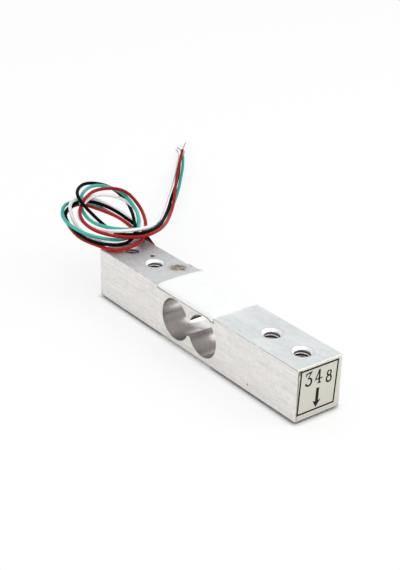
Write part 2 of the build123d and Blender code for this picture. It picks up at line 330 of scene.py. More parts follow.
def drilled_tone(metal, tone, drilled, rings):
    """Drilled walls: faint rings on a tone that is partly painted shade, a painted lighter floor at the
    front, a painted reflection on a patch at the back, and painted shade high in the far bore and between the
    two."""
    x, y, z = metal.x, metal.y, metal.z
    # The walls' tone is darker than the faces': tool rings, and partly painted shade in the bores.
    tone = metal.mix(drilled, tone, metal.mix(rings, (0.46, 0.436, 0.426), (0.60, 0.572, 0.56)))
    # Painted light on the bores' floor near the front opening.
    front_floor_light = y.below(-3.2, 3.0) * z.below(4.6, 3.0) * drilled
    tone = metal.mix(front_floor_light * 0.35, tone, (0.80, 0.78, 0.77))
    # Painted reflection: a near-white patch low on the back of the walls.
    back_wall_reflection = y.above(1.8, 3.6) * z.below(4.6, 2.0) * x.below(-2.0, 2.0) * drilled
    tone = metal.mix(back_wall_reflection, tone, (0.97, 0.96, 0.945))
    # Painted shade high in the far bore and between the two bores.
    far_bore_shade = x.below(-9.0, 1.0) * z.above(4.2, 0.8) * z.below(6.0, 0.8)
    web_shade = x.within(PAIR_MIDDLE, 2.0, 2.4) * y.below(0.6, 4.0) * z.above(3.9, 0.8)
    return metal.mix(far_bore_shade.at_least(web_shade) * drilled * 0.5, tone, (0.20, 0.19, 0.185))


def hole_tone(metal, tone):
    """Screw holes: a painted grey shade ring round the sink, a bright sink and a wall darkened by painted
    shade.
    """
    in_hole = screw_distance(metal)
    from_middle = abs(metal.z - BAR_MIDDLE)
    wall_end, sink_end = 5.3, HALF_WIDTH - 0.02
    # Painted shade: a grey ring just outside the sink's rim.
    rim = in_hole.above(SINK_RADIUS - 0.02, 0.06) * in_hole.below(SINK_RADIUS + 0.23, 0.12) * top_face(metal)
    tone = metal.mix(rim * 0.28, tone, (0.40, 0.40, 0.39))
    sink_span = from_middle.above(wall_end, 0.05) * from_middle.below(sink_end, 0.03)
    tone = metal.mix(in_hole.below(SINK_RADIUS - 0.02, 0.05) * sink_span, tone, (0.92, 0.92, 0.91))
    # Painted shade: the wall in the hole behind the thread is dark.
    wall = in_hole.below(SCREW_RADIUS + 0.03, 0.05) * from_middle.below(wall_end, 0.05)
    return metal.mix(wall, tone, (0.30, 0.29, 0.28))


def stain_tone(metal, tone, grain, drilled):
    """Stains: yellowish glue beside the bores, a ragged brown smear on top and a pink dot on the front."""
    patchy = metal.noise((0.35, 0.35, 0.9), 2, 0.6)
    glue = metal.x.within(0, 9.5, 3.0) * front_face(metal) * patchy.above(0.50, 0.12) * (1 - drilled)
    tone = metal.mix(glue * 0.35, tone, (0.66, 0.65, 0.52))
    right, back = metal.x - SMEAR_X, metal.y - SMEAR_Y
    lean_right, lean_back = 0.65, 0.76
    along = right * lean_right + back * lean_back
    beside = back * lean_right - right * lean_back
    ragged = metal.noise((1.0, 1.0, 1.0), 4, 0.7, 0.5)
    blot = ((along / 2.3) ** 2 + (beside / 1.9) ** 2) ** 0.5 + ragged * 1.7
    tone = metal.mix(blot.below(2.1, 0.8) * top_face(metal) * 0.3, tone, (0.46, 0.38, 0.30))
    stain = metal.mix(grain.above(0.5, 0.12), (0.095, 0.075, 0.048), (0.44, 0.37, 0.31))
    tone = metal.mix(blot.below(1.72, 0.25) * top_face(metal) * 0.9, tone, stain)
    dot = metal.distance(PINK_DOT_PLACE).below(0.25, 0.3)
    return metal.mix(dot * 0.85, tone, (0.34, 0.10, 0.12))


def milled_aluminium():
    """Milled bar: its faces, then the edges, the drilled walls, the screw holes, the stains and a pit."""
    metal = Finish("milled_aluminium", (0.75, 0.75, 0.75), 0.38, Metallic=0.85)
    streak = metal.noise((0.09, 3.2, 3.6), 3, 0.6)
    grain = metal.noise((1.4, 2.4, 2.4), 2, 0.6)
    rings = metal.noise((0.25, 5.0, 0.25), 2, 0.6)
    drilled = drilled_part(metal)
    tone = face_tone(metal, streak, grain)
    tone = edge_tone(metal, tone)
    tone = drilled_tone(metal, tone, drilled, rings)
    tone = hole_tone(metal, tone)
    tone = stain_tone(metal, tone, grain, drilled)
    pit = metal.distance(PIT_PLACE).below(0.57, 0.08)
    tone = metal.mix(pit, tone, (0.02, 0.02, 0.02))
    metal.feed(Base_Color=tone, Roughness=0.34 + streak * 0.16 - drilled * 0.2)
    metal.bump(streak * 0.5 + grain * 0.3 + rings * drilled * 0.6 - pit, 1.0, 0.012)
    return metal.material


def cut_thread():
    """Cut thread: bright, slightly pink crests over roots painted dark as shade."""
    metal = Finish("cut_thread", (0.70, 0.66, 0.65), 0.32, Metallic=0.9)
    oil = metal.noise((1.2, 1.2, 2.5), 3, 0.6)
    tone = metal.mix(oil, (0.76, 0.70, 0.69), (0.93, 0.87, 0.86))
    # Painted shade: the roots, deep between the crests, are dark.
    tone = metal.mix(screw_distance(metal).above(1.79, 0.08), tone, (0.10, 0.088, 0.086))
    metal.feed(Base_Color=tone, Roughness=0.25 + oil * 0.2)
    metal.bump(oil, 0.6, 0.01)
    return metal.material


# Finishes of the other parts
def poured_silicone():
    """White silicone: a smooth skin with slow waves, a few pinholes and a thinner, yellower front lip."""
    skin = Finish("poured_silicone", (0.90, 0.90, 0.89), 0.42, Coat_Weight=0.15, Coat_Roughness=0.25)
    wave = skin.noise((0.35, 0.35, 0.35), 2, 0.5)
    fine = skin.noise((2.5, 2.5, 2.5), 3, 0.55)
    cells = {"Vector": skin.stretched((0.8, 0.8, 0.8)), "Scale": 1.0}
    pinhole = skin.node("ShaderNodeTexVoronoi", {}, cells, "Distance").below(0.055, 0.03)
    lip = skin.z.below(BAR_TOP - 0.5, 0.8) * skin.y.below(0.05 - HALF_WIDTH, 0.2)
    tone = skin.mix(wave, (0.92, 0.92, 0.91), (0.96, 0.96, 0.955))
    tone = skin.mix(lip * 0.12, tone, (0.72, 0.71, 0.62))
    tone = skin.mix(pinhole * 0.25, tone, (0.7, 0.7, 0.68))
    skin.feed(Base_Color=tone, Roughness=0.34 + fine * 0.2)
    skin.bump(wave + fine * 0.25 - pinhole * 0.4, 0.8, 0.08)
    return skin.material


def lead_insulation(name, dark, light, roughness, shine):
    """Extruded insulation: a slight change of tone along the lead, faint scuffs, and a rougher tail painted
    darker as shade.
    """
    cover = Finish(name, light, roughness, Specular_IOR_Level=shine)
    slow = cover.noise((0.06, 0.06, 0.06), 2, 0.5)
    scuff = cover.noise((1.5, 1.5, 1.5), 3, 0.65)
    tail = cover.y.above(24, 16)
    tone = cover.mix(slow.above(0.5, 0.4) * 0.7 + scuff * 0.3, dark, light)
    # Painted shade: the tail is darkened towards the dark colour.
    tone = cover.mix(tail * 0.6, tone, dark)
    cover.feed(Base_Color=tone, Roughness=roughness - 0.08 + scuff * 0.16 + tail * 0.4)
    cover.bump(scuff, 0.5, 0.015)
    return cover.material


def tinned_strands():
    """Tinned copper strands: bright, with dull spots of flux."""
    metal = Finish("tinned_strands", (0.55, 0.54, 0.53), 0.35, Metallic=0.9)
    flux = metal.noise((1.5, 1.5, 1.5), 3, 0.6)
    tone = metal.mix(flux, (0.30, 0.28, 0.27), (0.66, 0.65, 0.64))
    metal.feed(Base_Color=tone, Roughness=0.25 + flux * 0.3)
    return metal.material


def label_paper():
    """Matt label stock: faint fibres, a warmer foot, a pale rim, a shaded edge where it lifts at the front,
    and a stain at its top corner."""
    paper = Finish("label_paper", (0.63, 0.62, 0.57), 0.62)
    fibre = paper.noise((1.6, 1.6, 1.6), 4, 0.6)
    cloud = paper.noise((0.18, 0.18, 0.18), 2, 0.5)
    tone = paper.mix(fibre * 0.5 + cloud * 0.5, (0.610, 0.595, 0.512), (0.675, 0.660, 0.572))
    tone = paper.mix(paper.z.below(3.4, 6.0) * 0.6, tone, (0.610, 0.548, 0.512))
    edge = abs(paper.y).above(5.7, 0.5).at_least(abs(paper.z - BAR_MIDDLE).above(5.7, 0.5))
    rim = paper.mix(paper.z.above(3.0, 3.0), (0.66, 0.585, 0.535), (0.80, 0.79, 0.69))
    tone = paper.mix(edge * 0.6, tone, rim)
    lifted = paper.y.below(-5.83, 0.12) * (0.5 + 0.5 * paper.z.above(5.0, 8.0))
    tone = paper.mix(lifted * 0.95, tone, (0.26, 0.25, 0.19))
    stain = paper.distance(LABEL_STAIN_PLACE).below(0.9, 0.4) * fibre.above(0.42, 0.1)
    tone = paper.mix(stain * 0.95, tone, (0.24, 0.17, 0.09))
    paper.feed(Base_Color=tone, Roughness=0.55 + fibre * 0.15)
    paper.bump(fibre, 0.5, 0.01)
    return paper.material


def printed_ink():
    """Black transfer print with a worn, slightly brown grain."""
    ink = Finish("printed_ink", (0.010, 0.008, 0.007), 0.55, Specular_IOR_Level=0.12)
    worn = ink.noise((2.2, 2.2, 2.2), 3, 0.6)
    tone = ink.mix(worn.above(0.55, 0.3), (0.005, 0.004, 0.004), (0.022, 0.018, 0.016))
    ink.feed(Base_Color=tone, Roughness=0.42 + worn * 0.2)
    return ink.material


def inner_part(name, dark, light, roughness, metallic):
    """A part under the silicone: its own colour with a fine grain."""
    stuff = Finish(name, light, roughness, Metallic=metallic)
    grain = stuff.noise((2.0, 2.0, 2.0), 3, 0.55)
    stuff.feed(Base_Color=stuff.mix(grain, dark, light), Roughness=roughness - 0.08 + grain * 0.16)
    stuff.bump(grain, 0.4, 0.01)
    return stuff.material


ALUMINIUM = milled_aluminium()
THREAD = cut_thread()
SILICONE = poured_silicone()
INSULATION = {
    "red": lead_insulation("red_insulation", (0.17, 0.003, 0.004), (0.60, 0.022, 0.022), 0.42, 0.12),
    "black": lead_insulation("black_insulation", (0.002, 0.002, 0.002), (0.004, 0.004, 0.004), 0.50, 0.03),
    "white": lead_insulation("white_insulation", (0.945, 0.95, 0.95), (0.98, 0.98, 0.98), 0.45, 0.3),
    "green": lead_insulation("green_insulation", (0.020, 0.340, 0.265), (0.090, 0.590, 0.490), 0.42, 0.15),
}
STRANDS = tinned_strands()
PAPER = label_paper()
INK = printed_ink()
INNER = {
    "gauge_backing": inner_part("amber_film", (0.42, 0.22, 0.04), (0.62, 0.36, 0.09), 0.35, 0.0),
    "gauge_grid": inner_part("resistance_foil", (0.48, 0.42, 0.34), (0.66, 0.60, 0.50), 0.30, 1.0),
    "terminal_board": inner_part("board_laminate", (0.36, 0.25, 0.09), (0.50, 0.37, 0.15), 0.45, 0.0),
    "terminal_pads": inner_part("copper_pads", (0.60, 0.30, 0.18), (0.78, 0.44, 0.28), 0.28, 1.0),
    "solder_joints": inner_part("dull_solder", (0.42, 0.42, 0.42), (0.64, 0.64, 0.64), 0.35, 1.0),
    "upper_wires": inner_part("enamelled_copper", (0.38, 0.12, 0.04), (0.58, 0.22, 0.08), 0.25, 0.8),
    "lower_wires": inner_part("enamelled_copper_lower", (0.38, 0.12, 0.04), (0.58, 0.22, 0.08), 0.25, 0.8),
}


# Mesh helpers
def full_turn(count):
    """Angles of one whole turn in equal steps, without its last one."""
    return np.linspace(0, 2 * np.pi, count + 1)[:-1]


def spots(x, y, z):
    """Points from three coordinates, stretched to one grid."""
    return np.stack(np.broadcast_arrays(x, y, z), axis=-1)


def unit(vectors):
    """Each vector brought to length 1."""
    return vectors / np.linalg.norm(vectors, axis=-1, keepdims=True)


def squared_off(wave, power):
    """A sine or cosine whose size is raised to a power under 1, which draws a circle out towards a square."""
    return np.sign(wave) * np.abs(wave) ** power


def waves(u, v, seed, strength):
    """Slow unevenness: a sum of four sines across two parameters, its phases set by the seed."""
    phase = np.random.default_rng(seed).uniform(0, 2 * np.pi, 8)
    total = np.sin(3.1 * u + 2.3 * v + phase[0]) + 0.6 * np.sin(7.3 * u - 4.1 * v + phase[1])
    total = total + 0.4 * np.sin(13.7 * u + 5.9 * v + phase[2])
    total = total + 0.25 * np.sin(23.0 * u - 11.0 * v + phase[3])
    return strength * total / 2.25


def grid_faces(rows, columns, wrap_rows=False, wrap_columns=False):
    """Quads between the points of a grid, by whole-array index sums; either way may close on itself."""
    r = np.arange(rows if wrap_rows else rows - 1)[:, None]
    c = np.arange(columns if wrap_columns else columns - 1)[None, :]
    down, along = (r + 1) % rows, (c + 1) % columns
    corners = [r * columns + c, r * columns + along, down * columns + along, down * columns + c]
    return np.stack(corners, axis=-1).reshape(-1, 4)


def tube_faces(rings, count):
    """Quads between rings of points, and a cap on the first ring and on the last."""
    faces = [tuple(f) for f in grid_faces(rings, count, wrap_columns=True)]
    return faces + [tuple(range(count)), tuple(range((rings - 1) * count, rings * count))]


def make_piece(name, points, faces, material, smooth_angle):
    """A mesh from arrays: doubles merged, faces turned outwards, edges past the angle kept sharp."""
    mesh = bpy.data.meshes.new(name)
    mesh.from_pydata((points.reshape(-1, 3) * MM).tolist(), [], [tuple(f) for f in faces])
    work = bmesh.new()
    work.from_mesh(mesh)
    bmesh.ops.remove_doubles(work, verts=work.verts, dist=1e-7)
    bmesh.ops.recalc_face_normals(work, faces=work.faces)
    work.to_mesh(mesh)
    work.free()
    mesh.materials.append(material)
    mesh.shade_smooth()
    mesh.set_sharp_from_angle(angle=math.radians(smooth_angle))
    piece = bpy.data.objects.new(name, mesh)
    bpy.context.collection.objects.link(piece)
    return piece


def seat(piece, replaces=()):
    """Puts a piece on the one body, and hides the solids that it stands for."""
    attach(piece, "root")
    if replaces:
        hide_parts(*replaces)


# Spring beam
def bar_block():
    """The bar before drilling: a chamfered square carried along X through four stations, the outer two drawn
    in."""
    near, far = HALF_WIDTH - EDGE_BREAK, HALF_WIDTH
    full = np.array([
        (far, near), (near, far), (-near, far), (-far, near),
        (-far, -near), (-near, -far), (near, -far), (far, -near),
    ])
    small = np.clip(full, -near, near)
    rings = np.stack([small, full, full, small])
    station = np.array([-HALF_LENGTH, EDGE_BREAK - HALF_LENGTH, HALF_LENGTH - EDGE_BREAK, HALF_LENGTH])
    points = spots(station[:, None], rings[..., 0], BAR_MIDDLE + rings[..., 1])
    return points, tube_faces(len(rings), len(full))


def bore_cutter():
    """Two bores and the slot between them as one closed tube along Y. At angle a its wall is |d cos a| +
    sqrt(r² - d² sin² a) from the middle in the bores and h / |sin a| in the slot, for bores of radius r at
    distance d and a slot of half height h. It flares by the edge break at each face."""
    angle = full_turn(384)
    face, rim, beyond = HALF_WIDTH, HALF_WIDTH - EDGE_BREAK, 1.2 * HALF_WIDTH
    station = np.array([-beyond, -face, -rim, rim, face, beyond])[:, None]
    flare = np.where(abs(station) > rim, EDGE_BREAK, 0)
    radius, neck = BORE_RADIUS + flare, SLOT_HALF_HEIGHT + flare
    sideways, upward = BORE_OFFSET * np.cos(angle), BORE_OFFSET * np.sin(angle)
    bore = abs(sideways) + np.sqrt(np.clip(radius ** 2 - upward ** 2, 0, None))
    slot = neck / np.maximum(abs(np.sin(angle)), 0.1)
    corner = neck / (BORE_OFFSET - np.sqrt(radius ** 2 - neck ** 2))
    reach = np.where(abs(np.tan(angle)) < corner, bore, slot)
    points = spots(PAIR_MIDDLE + reach * np.cos(angle), station, BAR_MIDDLE + reach * np.sin(angle))
    return points, tube_faces(len(station), len(angle))


def screw_cutter(x):
    """A turned profile about an upright axis: wide above, the 90 degree sink, the bore, the same below."""
    deep = SINK_RADIUS - SCREW_RADIUS
    over = 0.6
    profile = np.array([
        (SINK_RADIUS + over, BAR_TOP + over), (SINK_RADIUS, BAR_TOP), (SCREW_RADIUS, BAR_TOP - deep),
        (SCREW_RADIUS, BAR_BOTTOM + deep), (SINK_RADIUS, BAR_BOTTOM), (SINK_RADIUS + over, BAR_BOTTOM - over),
    ])
    angle = full_turn(96)
    radius, height = profile[:, :1], profile[:, 1:]
    points = spots(x + radius * np.cos(angle), radius * np.sin(angle), height)
    return points, tube_faces(len(profile), len(angle))


def drilled_beam():
    """The bar with its bores and screw holes cut out of it."""
    smooth_angle = 30
    beam = make_piece("milled_beam", *bar_block(), ALUMINIUM, smooth_angle)
    cutters = [make_piece("bore_cutter", *bore_cutter(), ALUMINIUM, smooth_angle)]
    for i, x in enumerate(SCREW_PLACES):
        cutters.append(make_piece(f"screw_cutter_{i}", *screw_cutter(x), ALUMINIUM, smooth_angle))
    for cutter in cutters:
        cut = beam.modifiers.new("drill", "BOOLEAN")
        cut.operation = "DIFFERENCE"
        cut.solver = "EXACT"
        cut.object = cutter
    shaped = bpy.data.meshes.new_from_object(beam.evaluated_get(bpy.context.evaluated_depsgraph_get()))
    beam.modifiers.clear()
    beam.data = shaped
    for cutter in cutters:
        bpy.data.objects.remove(cutter)
    shaped.shade_smooth()
    shaped.set_sharp_from_angle(angle=math.radians(smooth_angle))
    seat(beam, ["spring_beam"])


def thread_ridges():
    """Helical ridges in the four holes: a blunt triangle of radius r(s), carried round by angle t and up by
    pitch t / 2π. It rises out of the wall over the first half turn and sinks back over the last."""
    pitch, steps = 0.7, 40
    depth = SINK_RADIUS - SCREW_RADIUS
    section = np.array([(0.03, 0.0), (0.03, 0.60), (-0.34, 0.385), (-0.34, 0.215)])
    low, high = BAR_BOTTOM + 2 * depth, BAR_TOP - 2 * depth - 0.42
    turns = (high - low) / pitch
    t = np.linspace(0, 2 * np.pi * turns, int(turns * steps))[:, None]
    fade = np.clip(np.minimum(t, t[-1] - t) / np.pi, 0, 1)
    radius = SCREW_RADIUS + np.where(section[:, 0] < 0, section[:, 0] * fade, section[:, 0])
    height = low + pitch * t / (2 * np.pi) + section[:, 1]
    faces = tube_faces(len(t), len(section))
    for i, x in enumerate(SCREW_PLACES):
        ridge = spots(x + radius * np.cos(t), radius * np.sin(t), height)
        seat(make_piece(f"thread_{i}", ridge, faces, THREAD, 35))


def thread_mouths():
    """The sink's cone carried on to the thread's crest: a closed ring turned from four corners, at both ends
    of each hole."""
    outer, crest = SCREW_RADIUS + 0.02, SCREW_RADIUS - 0.16
    radius = np.array([outer, crest, crest, outer])[:, None]
    thickness = np.array([0, 0, 0.12, 0.35])[:, None]
    down = SINK_RADIUS - radius + thickness
    angle = full_turn(72)
    faces = grid_faces(len(radius), len(angle), wrap_rows=True, wrap_columns=True)
    for i, x in enumerate(SCREW_PLACES):
        for end, side, face in (("top", 1, BAR_TOP), ("under", -1, BAR_BOTTOM)):
            ring = spots(x + radius * np.cos(angle), radius * np.sin(angle), face - side * down)
            seat(make_piece(f"thread_mouth_{i}_{end}", ring, faces, ALUMINIUM, 35))


drilled_beam()
thread_ridges()
thread_mouths()


# Silicone
def top_silicone():
    """Brushed coat: across the bar the skin runs from the front lip, over the top and down the back lip, and
    along the bar it thins out to ragged ends. Outer and inner skins join into one closed sheet."""
    far_limit, load_limit, thickness = -12.4, 9.1, 0.93
    across, along = 72, 96
    s = np.linspace(0, 1, across)[:, None]
    u = np.linspace(0, 1, along)[None, :]
    front_share, back_share = 0.12, 0.90
    lip = np.clip(1 - s / front_share, 0, 1)
    flat = np.clip((s - front_share) / (back_share - front_share), 0, 1)
    tail = np.clip((s - back_share) / (1 - back_share), 0, 1)
    # the two lips hang down by these, the front one more at its tab near the load end
    tab = 0.45 * np.exp(-((u - 0.98) / 0.04) ** 4)
    front_drop = 0.45 + 0.10 * np.sin(2.2 * u + 0.4) ** 2 + tab + waves(9 * u, 0, 3, 0.05)
    back_drop = 0.9 + waves(7 * u, 0, 5, 0.1)
    base_y = HALF_WIDTH * (2 * flat - 1)
    base_z = BAR_TOP - lip * front_drop - tail * back_drop
    far_end = far_limit + waves(2.2 * s, 0, 11, 0.12)
    load_end = load_limit + waves(2.6 * s, 0, 13, 0.15)
    base_x = far_end + (load_end - far_end) * u
    # the skin's thickness, and the way it faces: forward at the front lip, up on top, back at the back lip
    ends = np.clip(1 - np.abs(2 * u - 1) ** 14, 0, 1) ** 0.5
    rims = np.clip(1 - np.abs(2 * s - 1) ** 60, 0, 1) ** 0.5
    crown = 0.55 + 0.45 * np.clip(1 - np.abs(2 * flat - 1) ** 6, 0, 1)
    skin = (thickness * crown + waves(5 * u, 4 * s, 7, 0.05)) * ends * rims
    front_turn = np.pi / 2 * (1 - np.clip((s - 0.6 * front_share) / (0.9 * front_share), 0, 1))
    back_turn = np.pi / 2 * np.clip((s - back_share + 0.04) / 0.08, 0, 1)
    out_y = 0.8 * np.sin(back_turn) - 0.38 * np.sin(front_turn)
    out_z = np.cos(front_turn) * np.cos(back_turn)
    outer = spots(base_x, base_y + skin * out_y, base_z + skin * out_z)
    inner = spots(base_x, base_y, base_z - 0.02)
    faces = grid_faces(2 * across, along, wrap_rows=True)
    sheet = make_piece("top_silicone", np.concatenate([outer, inner[::-1]]), faces, SILICONE, 70)
    seat(sheet, ["top_coat"])


def bottom_silicone():
    """Flattened coat under the bar: an even sheet whose edge is a rounded, slightly ragged rectangle."""
    middle, half_length, half_width, shift = -1.6, 10.7, 6.1, 0.12
    around, inward = 160, 10
    a = full_turn(around)
    r = np.linspace(0, 1, inward)[:, None]
    power = 2 / 14
    reach_x = squared_off(np.cos(a), power) * (half_length + waves(3 * a, 0, 17, 0.1))
    reach_y = squared_off(np.sin(a), power) * (half_width + waves(4 * a, 0, 19, 0.08)) + shift
    x, y = middle + reach_x * r, reach_y * r
    under = spots(x, y, BAR_BOTTOM - 0.5 * np.clip(1 - r ** 8, 0, 1) ** 0.5)
    above = spots(x, y, BAR_BOTTOM + 0.01)
    faces = grid_faces(2 * inward, around, wrap_columns=True)
    sheet = make_piece("bottom_silicone", np.concatenate([under, above[::-1]]), faces, SILICONE, 70)
    seat(sheet, ["bottom_coat"])


def back_silicone():
    """Blob over the terminal board, drawn out to a bead round the leads: half a superellipse whose height and
    depth change along the bar."""
    blob_end, blob_low, blob_high = -10.2, 0.15, 13.45
    bead_low, bead_high = 7.0, 12.1
    along, around = 90, 48
    place = np.linspace(BEAD_END, blob_end, along)[:, None]
    grow = np.clip((place + 19.6) / 2.6, 0, 1)
    grow = grow * grow * (3 - 2 * grow)
    over_wires = np.clip((place + 13.2) / 1.0, 0, 1)
    low = bead_low + (blob_low - bead_low) * grow + waves(0.5 * place, 0, 23, 0.12)
    high = bead_high + (blob_high - bead_high) * grow + 0.35 * over_wires + waves(0.6 * place, 0, 29, 0.08)
    load_end = np.clip(1 - np.clip((place + 11.6) / 1.4, 0, 1) ** 2, 0, 1) ** 0.5
    far_end = np.clip(1 - np.clip((-24.4 - place) / 0.6, 0, 1) ** 2, 0, 1) ** 0.5
    depth = (1.42 + 0.28 * grow) * load_end * (0.55 + 0.45 * far_end)
    a = np.linspace(0, np.pi, around)
    power = 2 / 3.6
    y = HALF_WIDTH + depth * squared_off(np.sin(a), power) * (1 + waves(0.7 * place, 2.5 * a, 31, 0.06))
    z = (high + low) / 2 + (high - low) / 2 * squared_off(np.cos(a), power)
    skin = spots(place, y, z)
    wall = spots(place, HALF_WIDTH - 0.01, z)
    points = np.concatenate([skin, wall[:, ::-1]], axis=1)
    sheet = make_piece("back_silicone", points, tube_faces(along, 2 * around), SILICONE, 70)
    seat(sheet, ["back_coat"])


top_silicone()
bottom_silicone()
back_silicone()


# Leads
LEAD_ROUTES = {
    "red": [
        (-34.1, 7.0, 12.2), (-40.3, 6.9, 13.6), (-46.2, 5.7, 15.7), (-52.6, 3.8, 16.3),
        (-58.8, 0.3, 17.2), (-58.2, -4.4, 15.3), (-51.6, -7.0, 14.7), (-45.4, -7.7, 13.7),
        (-39.2, -7.3, 14.1), (-33.1, -4.5, 13.5), (-31.9, 1.6, 14.4), (-37.3, 7.2, 13.9),
        (-42.5, 11.1, 15.0), (-48.1, 12.8, 17.2), (-53.2, 11.2, 20.6), (-57.7, 5.5, 20.3),
        (-53.9, -0.9, 19.9), (-49.4, -5.3, 18.0), (-42.9, -6.0, 16.6), (-37.0, -2.7, 15.8),
        (-32.8, 2.8, 15.6), (-34.9, 9.2, 15.0), (-39.0, 14.4, 14.0), (-43.6, 18.9, 13.0),
        (-49.7, 24.2, 11.7), (-57.0, 30.4, 10.5), (-67.0, 38.1, 8.8), (-77.1, 45.8, 7.0),
        (-87.1, 53.5, 5.2), (-97.2, 61.6, 3.8), (-104.3, 67.4, 2.6), (-113.3, 74.8, 1.6),
    ],
    "black": [
        (-33.6, 7.8, 11.2), (-39.8, 8.2, 13.7), (-46.3, 7.6, 15.2), (-52.1, 5.8, 16.9),
        (-57.4, 1.5, 18.3), (-57.8, -4.5, 16.5), (-51.5, -7.4, 15.7), (-45.2, -8.0, 14.8),
        (-37.4, -7.8, 15.0), (-32.8, -2.1, 14.6), (-36.7, 3.9, 14.7), (-40.4, 6.2, 15.8),
        (-48.0, 10.5, 15.7), (-55.1, 13.2, 16.3), (-60.8, 11.9, 18.8), (-62.4, 5.3, 20.8),
        (-58.2, -0.5, 21.0), (-51.5, -3.4, 20.6), (-46.8, -0.5, 16.0), (-40.4, 0.3, 14.4),
        (-33.6, 2.7, 16.2), (-36.2, 9.3, 15.1), (-40.4, 14.4, 13.9), (-47.1, 20.5, 12.5),
        (-54.3, 26.8, 11.0), (-65.1, 35.5, 8.6), (-75.2, 43.9, 6.3), (-84.8, 52.0, 4.5),
        (-94.9, 60.0, 3.0), (-106.0, 68.3, 0.7), (-111.9, 73.2, 0.5),
    ],
    "white": [
        (-33.6, 7.2, 9.9), (-39.1, 8.2, 12.4), (-46.0, 9.3, 14.1), (-52.2, 8.1, 16.1),
        (-58.0, 4.3, 18.0), (-58.3, -2.8, 18.8), (-52.4, -5.3, 15.8), (-46.0, -6.2, 14.2),
        (-39.3, -5.5, 14.0), (-35.0, -0.7, 13.7), (-37.3, 5.4, 13.8), (-41.2, 9.2, 15.1),
        (-47.2, 11.7, 16.3), (-54.0, 10.9, 17.9), (-56.5, 4.1, 19.7), (-54.5, -2.1, 17.3),
        (-48.8, -5.5, 16.8), (-41.5, -3.8, 16.0), (-35.8, 0.7, 16.8), (-36.6, 8.5, 15.8),
        (-40.8, 13.5, 14.9), (-47.1, 18.8, 12.8), (-54.8, 25.4, 11.1), (-64.8, 33.6, 8.9),
        (-74.7, 41.9, 6.8), (-84.6, 50.1, 4.9), (-94.7, 58.4, 3.3), (-103.2, 65.2, 2.0),
        (-112.3, 72.2, 0.9),
    ],
    "green": [
        (-34.7, 8.0, 8.5), (-39.8, 7.3, 12.0), (-45.1, 6.7, 14.7), (-51.8, 5.4, 15.7),
        (-58.8, 3.4, 16.9), (-59.6, -3.2, 17.7), (-54.0, -7.7, 16.6), (-46.6, -8.6, 16.2),
        (-40.2, -7.0, 15.7), (-36.9, -0.9, 14.1), (-38.6, 5.3, 13.8), (-43.0, 9.4, 16.3),
        (-49.2, 11.1, 18.0), (-56.2, 11.6, 19.3), (-60.4, 6.6, 20.6), (-57.5, 0.4, 20.0),
        (-52.1, -2.8, 17.9), (-45.5, -3.5, 16.6), (-38.6, -1.2, 16.9), (-36.8, 4.6, 16.0),
        (-38.7, 10.8, 14.5), (-45.1, 17.7, 12.0), (-52.5, 25.2, 10.3), (-61.9, 34.0, 8.3),
        (-70.9, 41.9, 6.8), (-82.2, 51.0, 4.2), (-92.4, 59.1, 2.6), (-100.1, 65.4, 1.7),
        (-108.6, 71.6, 1.2),
    ],
}
CORE_ROUTES = {
    "red": [(-116.0, 77.4, 1.8), (-119.3, 80.5, 1.4)],
    "black": [(-114.1, 74.9, 0.6), (-115.9, 75.7, 1.0), (-116.9, 75.2, 1.4)],
    "white": [(-114.2, 73.6, 1.2), (-115.3, 73.5, 1.4)],
    "green": [(-111.0, 73.6, 0.8), (-114.4, 76.4, 0.5)],
}

def smooth_line(name, route, radius=0.0):
    """A curve of one open spline with the route's points as its control points."""
    data = bpy.data.curves.new(name, "CURVE")
    data.dimensions = "3D"
    data.resolution_u = 10
    spline = data.splines.new("NURBS")
    spline.points.add(len(route) - 1)
    flat = np.column_stack([np.array(route) * MM, np.ones(len(route))])
    spline.points.foreach_set("co", flat.ravel())
    spline.order_u = 3
    spline.use_endpoint_u = True
    data.bevel_depth = radius * MM
    data.bevel_resolution = 5
    data.use_fill_caps = True
    piece = bpy.data.objects.new(name, data)
    bpy.context.collection.objects.link(piece)
    return piece


def line_points(curve):
    """Points along a curve that has no bevel, as Blender works them out, in millimetres."""
    mesh = bpy.data.meshes.new_from_object(curve)
    points = np.zeros(len(mesh.vertices) * 3)
    mesh.vertices.foreach_get("co", points)
    bpy.data.meshes.remove(mesh)
    return points.reshape(-1, 3) / MM


def twisted_strands(name, route):
    """Bare core: seven fine strands, six of them wound round the middle one as helices on the line's own
    frame. Towards the tip they spread, each by its own share."""
    guide = smooth_line(name + "_guide", route)
    line = line_points(guide)
    bpy.data.objects.remove(guide)
    stations, sides, lay = 40, 8, 1.1
    steps = np.linalg.norm(np.diff(line, axis=0), axis=1)
    reach = np.concatenate([[0], np.cumsum(steps)])
    even = np.linspace(0, reach[-1], stations)
    line = np.column_stack([np.interp(even, reach, line[:, k]) for k in range(3)])
    ahead = unit(np.gradient(line, axis=0))
    side = unit(np.cross(ahead, (0.3, 0.2, 1.0)))
    above = np.cross(side, ahead)
    fine = CORE_RADIUS / 3
    ring = full_turn(sides)[None, :, None]
    wall = fine * (np.cos(ring) * side[:, None] + np.sin(ring) * above[:, None])
    points, faces = [], []
    for k in range(7):
        spread = 0 if k == 6 else 2 * fine * (1 + 0.35 * (even / even[-1]) ** 3 * ((k * 5) % 7) / 6)
        around = 2 * np.pi * k / 6 + even / lay
        across, upward = spread * np.cos(around), spread * np.sin(around)
        centre = line + across[:, None] * side + upward[:, None] * above
        points.append((centre[:, None] + wall).reshape(-1, 3))
        start = k * stations * sides
        faces += [tuple(start + corner for corner in f) for f in tube_faces(stations, sides)]
    return make_piece(name, np.concatenate(points), faces, STRANDS, 50)


